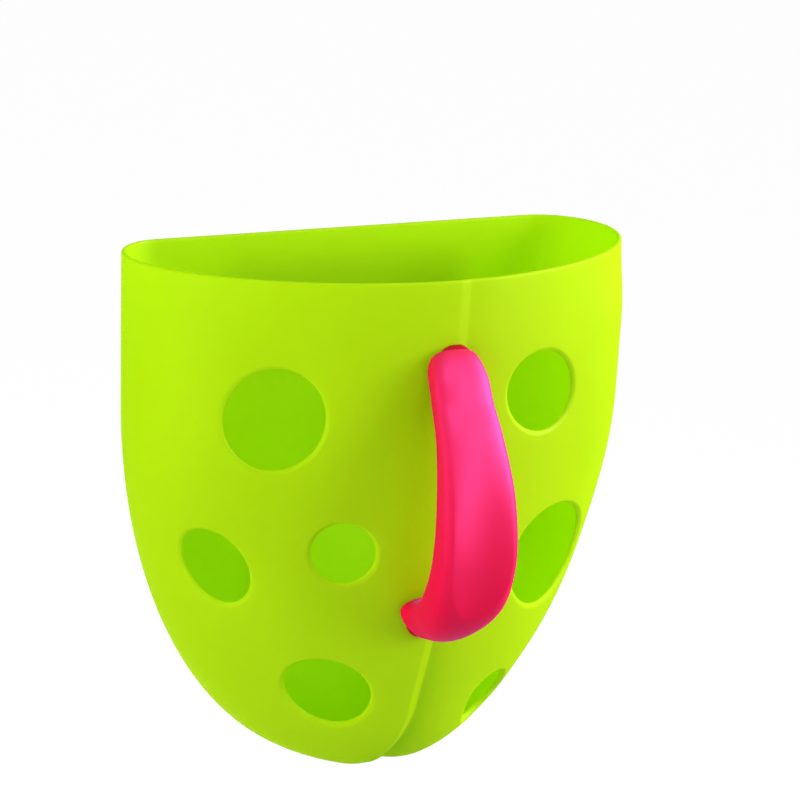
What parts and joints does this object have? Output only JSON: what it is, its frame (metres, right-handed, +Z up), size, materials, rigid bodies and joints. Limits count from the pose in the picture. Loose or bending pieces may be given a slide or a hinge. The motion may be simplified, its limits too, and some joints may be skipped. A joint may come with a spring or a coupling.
{
  "type": "bath toy organizer",
  "caption": "Wall-hung bath toy scoop: a wing-shaped plastic pod with oval drain holes and a bowed soft handle, lifted off a hooked wall plate.",
  "frame": {"origin": "on the wall plane, at the middle of the centre adhesive strip's back face", "axes": "+Y into the wall, +Z up, +X to the right of someone facing the wall"},
  "size_m": [0.24, 0.1698, 0.249],
  "materials": {
    "lime_plastic": "satin moulded polypropylene",
    "pink_soft_grip": "soft-touch matte",
    "red_core_plastic": "matte",
    "screw_steel": "plain steel",
    "white_foam": "closed-cell foam"
  },
  "bodies": {
    "wall_mount": {"wall_plate": "lime_plastic", "adhesive_strip_left": "white_foam", "adhesive_strip_centre": "white_foam", "adhesive_strip_right": "white_foam"},
    "scoop": {"scoop_shell": "lime_plastic", "handle_core": "red_core_plastic", "handle_grip": "pink_soft_grip", "handle_screw_upper": "screw_steel", "handle_screw_lower": "screw_steel"}
  },
  "joints": [
    {"name": "scoop_lift", "type": "slide", "parent": "wall_mount", "child": "scoop", "axis": [0, 0, 1], "range_m": [0, 0.03]}
  ]
}
